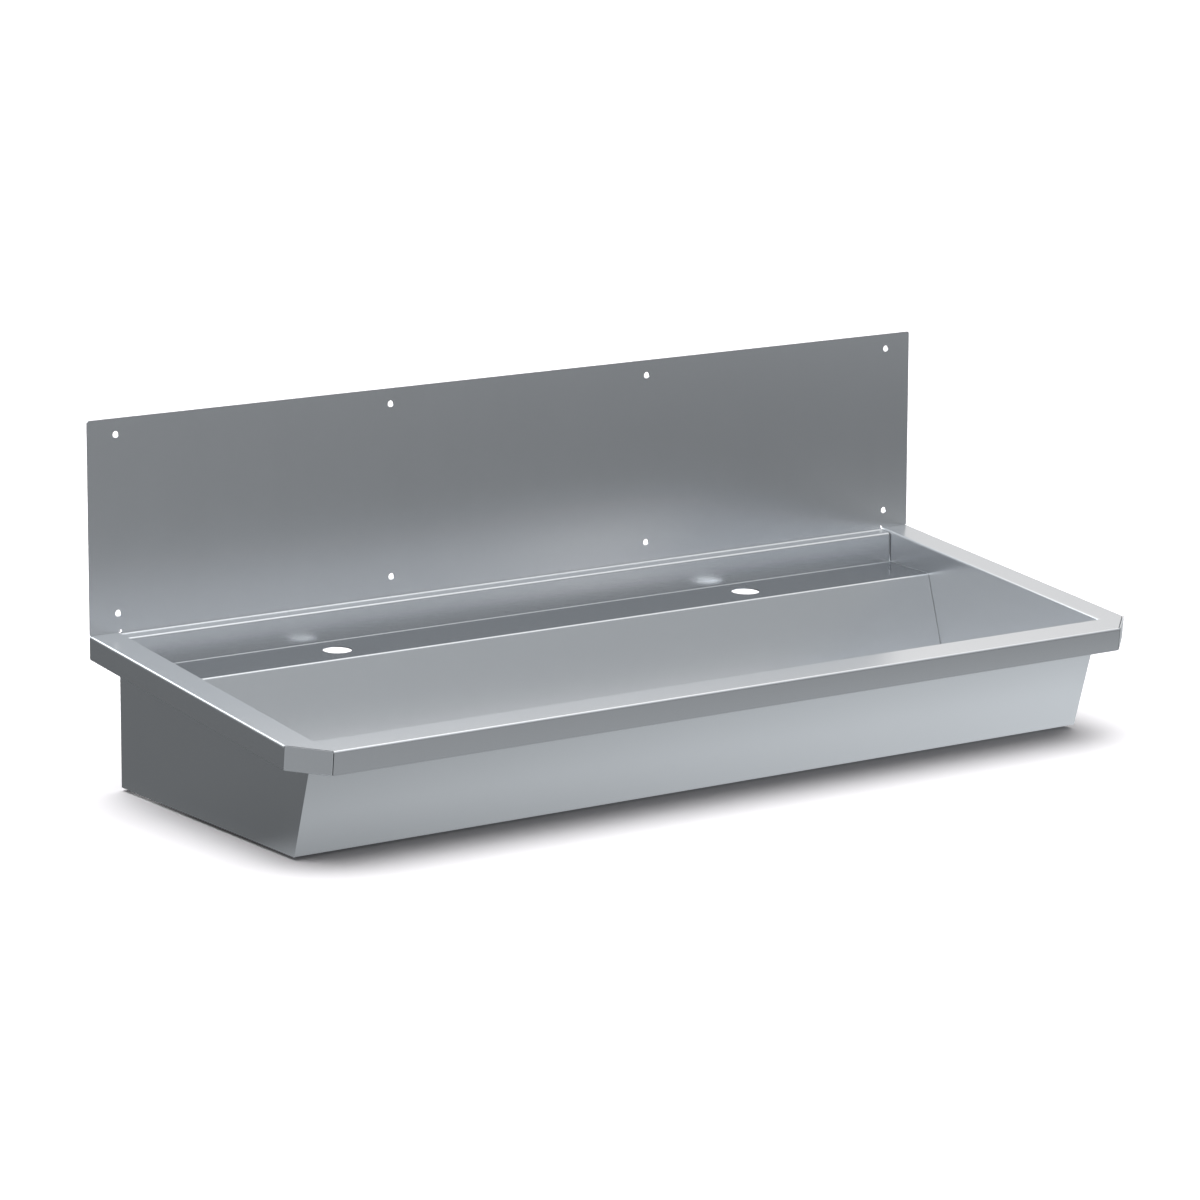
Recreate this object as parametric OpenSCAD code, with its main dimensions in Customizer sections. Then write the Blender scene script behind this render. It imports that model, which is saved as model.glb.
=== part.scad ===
// Wall-hung trough sink in folded stainless sheet, with a splashback, a tap ledge and a strainer waste.
// The origin is on the wall, at the middle of the splashback's back face and level with the rim there.
// X runs along the trough, the room is on the -Y side of the wall plane and +Z is up.

/* [Overall size] */
// Width over the side rims, which is also the splashback's width
trough_w = 1200; // [900:10:1800]
// Depth from the wall to the front edge of the rim
trough_d = 468; // [440:1:560]
// Height of the splashback's top edge above the rim line at the wall
splash_h = 251.5; // [200:0.5:400]
// Depth of the basin's underside below the rim line at the wall
basin_h = 185; // [150:1:240]
// How far the rim's front edge lies below the rim line at the wall
front_drop = 48.5; // [30:0.5:60]

/* [Sheet metal] */
// Thickness of the stainless sheet
sheet_t = 1.2; // [1:0.1:2]
// Inner radius of every fold
bend_r = 1.5; // [1:0.1:3]

/* [Rim] */
// Width of the side rims, measured to the basin's inner face
side_rim_w = 39.5; // [30:0.5:60]
// Width of the front rim, measured on its slope
front_rim_w = 41; // [30:0.5:50]
// Height of the skirt that hangs from the rim, square to it
skirt_h = 27.5; // [18:0.5:40]
// Width of rim left between the basin's corner and the cut-off front corner
corner_land = 1; // [0.5:0.1:8]
// Open seam between the end of the corner flap and the front skirt
seam_gap = 0.9; // [0.5:0.1:3]
// Open slit between the corner flap and the cut edge of the rim behind it
slit_gap = 1.4; // [0.5:0.1:3]

/* [Splashback] */
// Radius of the splashback's top corners
splash_corner_r = 3; // [1:0.5:20]
// Diameter of the wall screw holes
screw_hole_d = 8; // [5:0.5:12]
// Screw holes in each row
screw_columns = 4; // [2:1:6]
// Distance of the outer screw holes from the splashback's side edges
screw_margin_x = 37.5; // [15:0.5:80]
// Distance of the upper screw row from the top edge
screw_margin_top = 19; // [10:0.5:28]
// Distance of the lower screw row from the rim line
screw_margin_foot = 22.5; // [12:0.5:40]
// Width of the narrow shelf at the splashback's foot
shelf_w = 17; // [12:0.5:30]
// How far that shelf lies below the plane of the rim
shelf_step = 2.4; // [1.5:0.1:6]
// Gap between the ends of the shelf and the end sheets
shelf_end_gap = 1.5; // [0.5:0.1:3]
// Diameter of the relief holes at the ends of the splashback's fold
relief_d = 3.2; // [2:0.1:5]

/* [Tap ledge] */
// Depth of the tap ledge, from the shelf's front face to the ledge's front edge
ledge_w = 79.5; // [60:0.5:100]
// Level of the ledge's back edge below the rim line at the wall
ledge_below = 42; // [30:0.5:60]
// Fall of the ledge towards the basin
ledge_fall = 2.1; // [0.5:0.1:6]
// Height of the ledge's front fold, measured down the basin's back wall
ledge_lip = 14; // [8:0.5:25]
// Diameter of the tap holes
tap_hole_d = 35; // [28:0.5:38]
// Distance between the two tap holes
tap_pitch = 600; // [300:10:800]

/* [Basin] */
// Lean of the basin's front and back walls from upright, in degrees
wall_lean = 17.2; // [10:0.1:20]
// Width of flat floor left around the creased part
floor_border = 9; // [6:0.5:20]
// Fall of the creased floor to the outlet
floor_fall = 3.5; // [2:0.5:8]
// Width of the flange turned in along the wall at the back of each end sheet
wall_flange_w = 25; // [15:1:40]
// Level of that flange's top end below the rim line at the wall
wall_flange_top = 14; // [12:0.5:30]
// Height of the relief notch above that flange
notch_h = 2; // [1:0.1:5]

/* [Strainer waste] */
// Diameter of the outlet hole in the basin's floor
outlet_hole_d = 54; // [50:0.5:60]
// Diameter of the pressed seat around the outlet hole
seat_d = 96; // [90:1:120]
// Depth of the pressed seat
seat_depth = 2; // [2:0.1:5]
// Diameter of the strainer plate
strainer_d = 84; // [80:0.5:88]
// Number of slots in the strainer plate
strainer_slots = 12; // [6:1:16]
// Width of each strainer slot
slot_w = 4; // [2.5:0.1:4.5]
// Thickness of the two rubber seals
seal_t = 1.4; // [1:0.1:3]
// Outer diameter of the two rubber seals
seal_d = 76; // [72:0.5:78]
// Outer diameter of the outlet tail, a 1 1/2 inch pipe thread
tail_d = 47.8; // [46:0.1:50]
// Bore of the outlet tail
tail_bore_d = 40; // [34:0.5:42]
// Length of the outlet tail below the body's flange
tail_l = 12; // [12:0.5:60]
// Thickness of the outlet body's flange
body_flange_t = 3; // [2.5:0.1:6]
// Diameter of the strainer's screw
screw_d = 6; // [5:0.5:6.5]

/* [Sound pads] */
// Length of each sound-deadening pad, along the trough
pad_length = 180; // [100:5:220]
// Width of each pad
pad_width = 110; // [60:5:120]
// Thickness of each pad
pad_t = 2.5; // [1.5:0.5:5]
// Distance of each pad's outer end from the end wall
pad_end = 70; // [60:5:120]

/* [Hidden] */
$fn = 48;

steel = "#b9bdc1";
bright_steel = "#cfd3d6";
brass = "#c8a44c";
rubber = "#2b2d2f";
body_plastic = "#e4e5e3";
pad_black = "#3a3b3d";

// Folds: the outer radius, and the straight length kept beside a fold
fold_r = bend_r + sheet_t;
fold_reach = 2 * fold_r;
// Length by which cutting shapes run past the sheet that they trim
over = 60;
// Small step left where a cut follows a face of the sheet
trim = 0.05;
// Depth of a fold's faces below the flat faces that they join
skin = 0.005;

// Rim plane
rim_slope = front_drop / trough_d;
rim_fall = atan(rim_slope);
rim_l = trough_d / cos(rim_fall);
inner_x = trough_w / 2 - side_rim_w;
function rim_z(y) = y * rim_slope;

// Front corner, in the rim plane
corner_cut = side_rim_w - corner_land;
corner_y = corner_cut - rim_l;

// Splashback and the shelf at its foot
splash_face_y = -sheet_t;
shelf_y = splash_face_y - shelf_w;
shelf_root = [splash_face_y, rim_z(splash_face_y) - shelf_step];
shelf_edge = [shelf_y, rim_z(shelf_y) - shelf_step];
shelf_half_w = inner_x - shelf_end_gap;
tab_z = shelf_root[1] + fold_reach;
relief_z = 0.45 * relief_d;
screw_x0 = trough_w / 2 - screw_margin_x;
screw_pitch_x = 2 * screw_x0 / (screw_columns - 1);
screw_rows_z = [screw_margin_foot, splash_h - screw_margin_top];

// Tap ledge
ledge_slope = ledge_fall / ledge_w;
ledge_tilt = atan(ledge_slope);
ledge_edge_y = shelf_y - ledge_w;
function ledge_z(y) = ledge_slope * (y - shelf_y) - ledge_below;
ledge_back_y = shelf_y + sheet_t;
tap_y = shelf_y - ledge_w / 2;

// Basin, seen from the end: y and z of the corners of its inner faces
floor_z = sheet_t - basin_h;
ledge_corner = [ledge_edge_y, ledge_z(ledge_edge_y)];
front_corner = [front_rim_w * cos(rim_fall) - trough_d, front_rim_w * sin(rim_fall) - front_drop];
back_foot = [ledge_corner[0] - (ledge_corner[1] - floor_z) * tan(wall_lean), floor_z];
front_foot = [front_corner[0] + (front_corner[1] - floor_z) * tan(wall_lean), floor_z];
lip_end = ledge_corner - ledge_lip * [sin(wall_lean), cos(wall_lean)];
rim_front = [-trough_d, -front_drop];
skirt_end = rim_front + skirt_h * [sin(rim_fall), -cos(rim_fall)];
front_wall_t = sheet_t / cos(wall_lean);
function front_outer_y(z) = front_corner[0] + (front_corner[1] - z) * tan(wall_lean) - front_wall_t;

// Creased floor and outlet
crease_x = inner_x - floor_border;
crease_back = back_foot[0] - floor_border;
crease_front = front_foot[0] + floor_border;
outlet_y = (crease_back + crease_front) / 2;
// Height by which the creased underside reaches into the flat floor, so that it ends inside the border
crease_lap = floor_fall * floor_border / (2 * crease_x);
seat_z = floor_z - floor_fall - seat_depth;
strainer_t = sheet_t;
strainer_z = seat_z + seal_t;
under_seat_z = seat_z - sheet_t;
body_top_z = under_seat_z - seal_t;
tail_end_z = body_top_z - body_flange_t - tail_l;
// Strainer plate and screw
dimple_r = 8;
dimple_depth = 3;
slot_margin_in = 3.5;
slot_margin_out = 3;
slot_in_r = dimple_r + slot_margin_in;
slot_out_r = outlet_hole_d / 2 - slot_margin_out;
screw_clear = 0.3;
thread_clear = 0.05;
screw_end = 9;
// Outlet body, with depths below its top face
seal_bore_d = outlet_hole_d + 2;
flange_rim = 2;
funnel_lip = 2;
funnel_d = outlet_hole_d - 2 * funnel_lip;
funnel_h = 8;
tail_chamfer = 1;
spoke_t = 3;
spoke_h = 4.5;
boss_r = 7;
boss_top = 1;
boss_bottom = funnel_h + spoke_h + 0.5;
insert_r = 4.5;
insert_l = 9;
// Sound pads: centre, and the layer of glue above them
pad_x = inner_x - pad_end - pad_length / 2;
pad_glue = 0.1;

// ---- Folded sheet: a profile that follows the corner points of one face ----

function heading(p, q) = atan2(q[1] - p[1], q[0] - p[0]);
function wrap(a) = a > 180 ? a - 360 : (a < -180 ? a + 360 : a);
function turn(pts, i) = wrap(heading(pts[i], pts[i + 1]) - heading(pts[i - 1], pts[i]));
function face_r(a) = a > 0 ? fold_r : bend_r;
function setback(pts, i) =
    i == 0 || i == len(pts) - 1 ? 0 : face_r(turn(pts, i)) * tan(abs(turn(pts, i)) / 2);
function flat_l(pts, i) = norm(pts[i + 1] - pts[i]) - setback(pts, i) - setback(pts, i + 1);

// The fold's ring between the end of one flat stretch and the start of the next, turned by a
module fold(a) {
    reach = 2 * fold_r;
    intersection() {
        difference() {
            circle(r = fold_r - skin);
            circle(r = bend_r + skin);
        }
        translate([0, -reach])
            square(2 * reach);
        rotate(a)
            translate([-2 * reach, -reach])
                square(2 * reach);
    }
}

// Flat stretch i with the fold at its end and all that follows, drawn from the start of its face
module stretch(pts, i, inset) {
    translate([0, inset])
        square([flat_l(pts, i), sheet_t - 2 * inset]);
    if (i < len(pts) - 2) {
        a = turn(pts, i + 1);
        r = a > 0 ? fold_r : -bend_r;
        translate([flat_l(pts, i), r]) {
            fold(a);
            rotate(a)
                translate([0, -r])
                    stretch(pts, i + 1, inset);
        }
    }
}

// Sheet along pts; the metal lies on the left of the way along them
module folded_profile(pts, inset = 0) {
    translate(pts[0])
        rotate(heading(pts[0], pts[1]))
            stretch(pts, 0, inset);
}

// Draws a profile of y and z along the trough, from -half_w to half_w
module along_trough(half_w) {
    rotate([90, 0, 90])
        translate([0, 0, -half_w])
            linear_extrude(2 * half_w)
                children();
}

// Draws a profile of y and z with the thickness t, starting at x
module upright_sheet(x, t) {
    rotate([90, 0, 90])
        translate([0, 0, x])
            linear_extrude(t)
                children();
}

// Turns what is drawn level into the falling plane of the rim
module in_rim_plane() {
    rotate([rim_fall, 0, 0])
        children();
}

// ---- Splashback: wall panel, shelf and the short upright behind the taps, in one sheet ----

module splash_outline() {
    half = trough_w / 2;
    r = splash_corner_r;
    difference() {
        polygon([
            [-half, 0], [-shelf_half_w, 0], [-shelf_half_w, tab_z], [shelf_half_w, tab_z],
            [shelf_half_w, 0], [half, 0], [half, splash_h], [-half, splash_h]
        ]);
        for (side = [-1, 1])
            translate([side * (half - r), splash_h - r])
                difference() {
                    translate([side > 0 ? 0 : -2 * r, 0])
                        square(2 * r);
                    circle(r = r);
                }
    }
}

module splashback_sheet() {
    color(steel)
        difference() {
            union() {
                rotate([90, 0, 0])
                    linear_extrude(sheet_t)
                        splash_outline();
                along_trough(shelf_half_w)
                    folded_profile([
                        [splash_face_y, tab_z],
                        shelf_root,
                        shelf_edge,
                        [shelf_y, ledge_z(ledge_back_y)]
                    ]);
            }
            for (i = [0 : screw_columns - 1], row_z = screw_rows_z)
                translate([i * screw_pitch_x - screw_x0, 0, row_z])
                    rotate([90, 0, 0])
                        cylinder(d = screw_hole_d, h = 4 * sheet_t, center = true);
            for (side = [-1, 1])
                translate([side * shelf_half_w, 0, relief_z])
                    rotate([90, 0, 0])
                        cylinder(d = relief_d, h = 4 * sheet_t, center = true);
        }
}

// ---- Tap ledge: its back edge carries the splashback's upright, its front fold starts the basin ----

module tap_ledge() {
    color(steel)
        difference() {
            along_trough(inner_x)
                folded_profile([
                    [ledge_back_y, ledge_z(ledge_back_y)],
                    ledge_corner,
                    lip_end
                ]);
            for (side = [-1, 1])
                translate([side * tap_pitch / 2, tap_y, ledge_z(tap_y)])
                    rotate([ledge_tilt, 0, 0])
                        cylinder(d = tap_hole_d, h = 6 * sheet_t, center = true);
        }
}

// ---- Basin: back wall, creased floor, front wall, front rim and front skirt, in one sheet ----

// Four planes that fall to the outlet from a border at the level z, carried up by h above that level
module crease_space(z, h) {
    grow = 1 + h / floor_fall;
    x = crease_x * grow;
    y = (crease_back - crease_front) / 2 * grow;
    translate([0, outlet_y, z])
        polyhedron(
            points = [[-x, -y, h], [x, -y, h], [x, y, h], [-x, y, h], [0, 0, -floor_fall]],
            faces = [[3, 2, 1, 0], [0, 1, 4], [1, 2, 4], [2, 3, 4], [3, 0, 4]]
        );
}

module at_outlet(z) {
    translate([0, outlet_y, z])
        children();
}

module basin_sheet() {
    color(steel)
        difference() {
            union() {
                along_trough(inner_x)
                    folded_profile([lip_end, back_foot, front_foot, front_corner, rim_front, skirt_end]);
                crease_space(floor_z - sheet_t, crease_lap);
                at_outlet(under_seat_z)
                    cylinder(d = seat_d + 2 * sheet_t, h = floor_fall + seat_depth);
            }
            crease_space(floor_z, 2 * trim);
            at_outlet(seat_z)
                cylinder(d = seat_d, h = floor_fall + seat_depth + sheet_t);
            at_outlet(under_seat_z - sheet_t)
                cylinder(d = outlet_hole_d, h = 4 * sheet_t);
        }
}

// ---- End sheets: end wall, side rim, side skirt, corner flap and wall flange, in one sheet ----

// Outline of the trough seen from the end, up to back behind the front wall's outer face
module end_outline(back) {
    top = over;
    polygon([
        [0, top], [front_outer_y(top) + back, top],
        [front_outer_y(-basin_h) + back, -basin_h], [0, -basin_h]
    ]);
}

// Plan of the rim plane up to a line that lies inside the cut-off front corner by inset
module corner_outline(inset) {
    past = 1;
    outer = trough_w / 2 + past;
    back = inset * sqrt(2);
    polygon([
        [0, over], [-outer, over], [-outer, corner_y + past + back],
        [back - inner_x - corner_land, -rim_l], [0, -rim_l]
    ]);
}

// Everything inside that line, at the height of the rim
module inside_corner(inset) {
    in_rim_plane()
        translate([0, 0, -over])
            linear_extrude(2 * over)
                corner_outline(inset);
}

// Draws a profile of x and z along the rim, from behind the wall to past the front edge
module along_rim() {
    in_rim_plane()
        translate([0, over / 2, 0])
            rotate([90, 0, 0])
                linear_extrude(rim_l + over)
                    children();
}

module room_side() {
    translate([-trough_w, -trough_d - over, -basin_h - over])
        cube([trough_w, trough_d + over, basin_h + 2 * over]);
}

// Flat part of the side rim; in front of the end wall it reaches the basin's corner
module side_rim() {
    difference() {
        intersection() {
            in_rim_plane()
                translate([fold_r - trough_w / 2, -rim_l, -sheet_t])
                    cube([side_rim_w - fold_r, rim_l + over, sheet_t]);
            inside_corner(sheet_t + slit_gap);
            room_side();
        }
        upright_sheet(-inner_x - fold_r, over)
            end_outline(2 * trim);
    }
}

// Fold between the side rim and its skirt; both of its ends run into the flat sheet
module skirt_fold() {
    half = trough_w / 2;
    intersection() {
        along_rim()
            folded_profile([[fold_reach - half, 0], [-half, 0], [-half, -fold_reach]], skin);
        inside_corner(sheet_t + slit_gap + trim);
        room_side();
    }
}

// Fold between the side rim and the end wall; both of its ends run into the flat sheet
module wall_fold() {
    intersection() {
        along_rim()
            folded_profile([[-inner_x, -fold_reach], [-inner_x, 0], [-inner_x - fold_reach, 0]], skin);
        upright_sheet(-trough_w, trough_w)
            end_outline(trim);
        room_side();
    }
}

// The flat end wall, cut back where the wall flange takes over
module end_wall() {
    difference() {
        upright_sheet(-inner_x - sheet_t, sheet_t)
            intersection() {
                end_outline(0);
                rotate(rim_fall)
                    translate([-rim_l - over, -basin_h - over])
                        square([rim_l + 2 * over, basin_h + over - fold_r]);
            }
        translate([-inner_x - 2 * sheet_t, -fold_r, -basin_h - over])
            cube([3 * sheet_t, over, basin_h + over - wall_flange_top + notch_h]);
    }
}

// Side skirt and corner flap; the flap stands outside the rim's cut edge and reaches up to its level
module side_skirt() {
    half = trough_w / 2;
    flap_end = [-inner_x - corner_land - seam_gap / sqrt(2), seam_gap / sqrt(2) - rim_l];
    strip = [[-half, over], [-half, corner_y], flap_end];
    intersection() {
        in_rim_plane() {
            translate([0, 0, -skirt_h])
                linear_extrude(skirt_h - fold_r)
                    folded_profile(strip);
            translate([0, 0, -fold_reach])
                linear_extrude(fold_reach)
                    difference() {
                        folded_profile(strip);
                        corner_outline(sheet_t + trim);
                    }
        }
        room_side();
    }
}

// Flange along the wall, folded in from the back edge of the end wall
module wall_flange() {
    outer_x = -inner_x - sheet_t;
    translate([0, 0, -basin_h])
        linear_extrude(basin_h - wall_flange_top) {
            translate([outer_x + fold_r, -sheet_t])
                square([wall_flange_w - fold_r, sheet_t]);
            folded_profile([[outer_x + fold_reach, 0], [outer_x, 0], [outer_x, -fold_reach]], skin);
        }
}

module end_sheet() {
    side_rim();
    skirt_fold();
    wall_fold();
    end_wall();
    side_skirt();
    wall_flange();
}

module left_end_sheet() {
    color(steel)
        end_sheet();
}

module right_end_sheet() {
    color(steel)
        mirror([1, 0, 0])
            end_sheet();
}

// ---- Strainer waste: plate, seals and body clamped through the floor by one screw ----

// Pressed plate with a dimple for the screw's head, a turned-down edge and round-ended slots
module strainer_plate() {
    r = strainer_d / 2;
    hole_r = screw_d / 2 + screw_clear;
    color(bright_steel)
        at_outlet(strainer_z)
            difference() {
                rotate_extrude()
                    polygon([
                        [hole_r, -dimple_depth], [dimple_r - dimple_depth, -dimple_depth],
                        [dimple_r, 0], [r, 0], [r, strainer_t / 2], [r - strainer_t / 2, strainer_t],
                        [dimple_r - strainer_t / 2, strainer_t],
                        [dimple_r - dimple_depth - strainer_t / 2, strainer_t - dimple_depth],
                        [hole_r, strainer_t - dimple_depth]
                    ]);
                for (i = [0 : strainer_slots - 1])
                    rotate(i * 360 / strainer_slots)
                        translate([0, 0, -sheet_t]) {
                            for (end_r = [slot_in_r, slot_out_r])
                                translate([end_r, 0, 0])
                                    cylinder(d = slot_w, h = 3 * sheet_t);
                            translate([slot_in_r, -slot_w / 2, 0])
                                cube([slot_out_r - slot_in_r, slot_w, 3 * sheet_t]);
                        }
            }
}

// Raised countersunk screw with a driver slot; it runs down into the insert
module strainer_screw() {
    head_r = dimple_r - dimple_depth - strainer_t / 2;
    head_h = 2.2;
    shank_l = strainer_z + strainer_t - dimple_depth - body_top_z + screw_end;
    color(bright_steel)
        at_outlet(strainer_z + strainer_t - dimple_depth)
            difference() {
                union() {
                    cylinder(r1 = head_r, r2 = head_r - 0.6, h = head_h);
                    translate([0, 0, -shank_l])
                        cylinder(d = screw_d, h = shank_l);
                }
                translate([-head_r, -0.5, head_h - 1.2])
                    cube([2 * head_r, 1, 2]);
            }
}

module seal_ring(z) {
    color(rubber)
        at_outlet(z)
            difference() {
                cylinder(d = seal_d, h = seal_t, $fn = 96);
                translate([0, 0, -seal_t])
                    cylinder(d = seal_bore_d, h = 3 * seal_t, $fn = 96);
            }
}

module strainer_seal() {
    seal_ring(seat_z);
}

module outlet_seal() {
    seal_ring(body_top_z);
}

// Moulded outlet body: flange, funnel, threaded tail and three spokes that hold the boss
module outlet_body() {
    wall_r = tail_d / 2;
    flange_r = seal_d / 2 + flange_rim;
    drop = tail_end_z - body_top_z;
    color(body_plastic)
        at_outlet(body_top_z) {
            rotate_extrude($fn = 96)
                polygon([
                    [funnel_d / 2, 0], [flange_r - 1, 0], [flange_r, -1], [flange_r, -body_flange_t],
                    [wall_r, -body_flange_t], [wall_r, drop + tail_chamfer],
                    [wall_r - tail_chamfer, drop], [tail_bore_d / 2, drop],
                    [tail_bore_d / 2, -funnel_h]
                ]);
            difference() {
                union() {
                    translate([0, 0, -boss_bottom])
                        cylinder(r = boss_r, h = boss_bottom - boss_top);
                    for (i = [0 : 2])
                        rotate(90 + i * 120)
                            translate([0, -spoke_t / 2, -boss_bottom])
                                cube([tail_bore_d / 2 + 1, spoke_t, spoke_h]);
                }
                translate([0, 0, -boss_top - insert_l])
                    cylinder(r = insert_r + thread_clear, h = insert_l + 1);
                translate([0, 0, -boss_bottom - 1])
                    cylinder(d = screw_d + 1, h = boss_bottom);
            }
        }
}

// Brass insert in the boss, which takes the strainer's screw
module screw_insert() {
    color(brass)
        at_outlet(body_top_z - boss_top - insert_l)
            difference() {
                cylinder(r = insert_r, h = insert_l);
                translate([0, 0, -1])
                    cylinder(d = screw_d + 2 * thread_clear, h = insert_l + 2);
            }
}

// ---- Sound-deadening pads glued under the end planes of the creased floor ----

module sound_pad(side) {
    fall_angle = atan(floor_fall / crease_x);
    color(pad_black)
        translate([side * crease_x, outlet_y, floor_z - sheet_t - pad_glue])
            rotate([0, -side * fall_angle, 0])
                translate([side * (pad_x - crease_x) - pad_length / 2, -pad_width / 2, -pad_t])
                    cube([pad_length, pad_width, pad_t]);
}

module left_sound_pad() {
    sound_pad(-1);
}

module right_sound_pad() {
    sound_pad(1);
}

splashback_sheet();
tap_ledge();
basin_sheet();
left_end_sheet();
right_end_sheet();
strainer_plate();
strainer_screw();
strainer_seal();
outlet_seal();
outlet_body();
screw_insert();
left_sound_pad();
right_sound_pad();
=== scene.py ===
"""The looks of a wall-hung trough sink in satin stainless steel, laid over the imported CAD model."""
import math

import bmesh
import bpy
from mathutils import Matrix, Vector


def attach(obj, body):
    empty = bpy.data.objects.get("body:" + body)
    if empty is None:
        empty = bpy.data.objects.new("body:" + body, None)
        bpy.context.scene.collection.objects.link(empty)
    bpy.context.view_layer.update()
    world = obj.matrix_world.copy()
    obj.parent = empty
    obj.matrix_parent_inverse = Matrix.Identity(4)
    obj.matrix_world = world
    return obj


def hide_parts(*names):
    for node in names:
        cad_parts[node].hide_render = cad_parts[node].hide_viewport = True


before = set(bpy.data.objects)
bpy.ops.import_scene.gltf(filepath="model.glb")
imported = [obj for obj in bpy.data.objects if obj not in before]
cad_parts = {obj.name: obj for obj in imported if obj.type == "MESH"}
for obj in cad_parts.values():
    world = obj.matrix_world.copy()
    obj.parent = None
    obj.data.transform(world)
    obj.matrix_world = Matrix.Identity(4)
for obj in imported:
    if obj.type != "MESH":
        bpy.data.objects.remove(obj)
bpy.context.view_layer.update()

# ---- The camera ----
# The photograph is taken from the left of the sink and a little above it, with a long lens.
# Place, turn and lens were fitted to the sink's straight edges.
view_turn = math.radians(35.0531)
view_down = math.radians(10.5849)
view_roll = math.radians(0.1988)
view_from = Vector((-3.3480, -4.94101, 1.23586))
lens_mm = 149.637
frame_shift = -0.1
farthest = 100
look = Vector((math.sin(view_turn) * math.cos(view_down),
               math.cos(view_turn) * math.cos(view_down),
               -math.sin(view_down)))
level = Vector((math.cos(view_turn), -math.sin(view_turn), 0))
upward = level.cross(look)
to_right = math.cos(view_roll) * level + math.sin(view_roll) * upward
to_top = math.cos(view_roll) * upward - math.sin(view_roll) * level
view_axes = Matrix((to_right, to_top, -look)).transposed().to_4x4()
camera = bpy.data.objects.new("camera", bpy.data.cameras.new("camera"))
camera.matrix_world = Matrix.Translation(view_from) @ view_axes
camera.data.lens = lens_mm
camera.data.shift_y = frame_shift
camera.data.clip_end = farthest
bpy.context.collection.objects.link(camera)
bpy.context.scene.camera = camera

# ---- The studio ----
# A plain white floor under one very wide lamp, against a white sky. Two grey cards, which only
# reflections see, stand for the room and give the steel its tones.
bpy.context.scene.view_settings.view_transform = "Standard"


def add_node(tree, kind, values=None, **settings):
    """Adds a node with its settings, and gives its sockets their numbers or links."""
    made = tree.nodes.new(kind)
    for name, value in settings.items():
        setattr(made, name, value)
    for socket, value in (values or {}).items():
        if isinstance(value, bpy.types.NodeSocket):
            tree.links.new(value, made.inputs[socket])
        else:
            made.inputs[socket].default_value = value
    return made


def linear(hex_colour):
    """Turns an sRGB hex colour into the linear numbers that a shader reads."""
    parts = [int(hex_colour[i:i + 2], 16) / 255 for i in (1, 3, 5)]
    return [c / 12.92 if c <= 0.04045 else ((c + 0.055) / 1.055) ** 2.4 for c in parts] + [1.0]


def new_material(name):
    """Starts an empty material and gives its tree with the output node."""
    made = bpy.data.materials.new(name)
    made.use_nodes = True
    made.node_tree.nodes.clear()
    return made, made.node_tree, add_node(made.node_tree, "ShaderNodeOutputMaterial")


def mesh_object(name, points, faces):
    """Makes a mesh object at the origin from points in metres."""
    mesh = bpy.data.meshes.new(name)
    mesh.from_pydata([tuple(p) for p in points], [], faces)
    mesh.validate()
    made = bpy.data.objects.new(name, mesh)
    bpy.context.collection.objects.link(made)
    return made


# The sky is white where the camera sees it, and lights matt surfaces only a little
sky_on_matt = 0.2
sky = bpy.data.worlds.new("white_sky")
sky.use_nodes = True
sky.node_tree.nodes.clear()
path = add_node(sky.node_tree, "ShaderNodeLightPath")
strength = add_node(sky.node_tree, "ShaderNodeMapRange",
                    {"Value": path.outputs["Is Diffuse Ray"], "To Min": 1.0, "To Max": sky_on_matt})
background = add_node(sky.node_tree, "ShaderNodeBackground",
                      {"Color": linear("#ffffff"), "Strength": strength.outputs[0]})
add_node(sky.node_tree, "ShaderNodeOutputWorld", {"Surface": background.outputs[0]})
bpy.context.scene.world = sky

# A very wide lamp overhead gives the soft shadow that hugs the sink; reflections don't see it
lamp_level = 0.82  # at 1 this lamp alone would show a white surface as white
lamp_width = math.radians(70)
lamp_data = bpy.data.lights.new("wide_overhead_lamp", "SUN")
lamp_data.energy = lamp_level * math.pi
lamp_data.angle = lamp_width
overhead_lamp = bpy.data.objects.new("wide_overhead_lamp", lamp_data)
overhead_lamp.visible_glossy = False
bpy.context.collection.objects.link(overhead_lamp)

# The trough rests on its underside, as in the photograph: its waste hangs through a round hole
floor_level = -0.1893
floor_r = 12.0
floor_hole_r = 0.0515
floor_sides = 64
outlet_y = -0.262486
turns = [math.tau * (i + 0.5) / floor_sides for i in range(floor_sides)]
points = [(floor_hole_r * math.cos(a), outlet_y + floor_hole_r * math.sin(a), floor_level)
          for a in turns]
points += [(floor_r * math.cos(a), floor_r * math.sin(a), floor_level) for a in turns]
faces = [(i, floor_sides + i, floor_sides + (i + 1) % floor_sides, (i + 1) % floor_sides)
         for i in range(floor_sides)]
floor = mesh_object("floor", points, faces)
# Matt white paper: the camera, and what mirrors it, see it brighter than it lights the sink
paper_lights = (0.8, 0.8, 0.8, 1)
paper_shows = (1.44, 1.42, 1.455, 1)
paper, tree, out = new_material("matt_white_paper")
path = add_node(tree, "ShaderNodeLightPath")
seen = path.outputs["Is Camera Ray"]
for kind in ("Is Glossy Ray", "Is Transmission Ray"):
    seen = add_node(tree, "ShaderNodeMath", {0: seen, 1: path.outputs[kind]},
                    operation="MAXIMUM").outputs[0]
tone = add_node(tree, "ShaderNodeMix", {0: seen, 6: paper_lights, 7: paper_shows}, data_type="RGBA")
matt = add_node(tree, "ShaderNodeBsdfDiffuse", {"Color": tone.outputs[2]})
tree.links.new(matt.outputs[0], out.inputs["Surface"])
floor.data.materials.append(paper)

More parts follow.
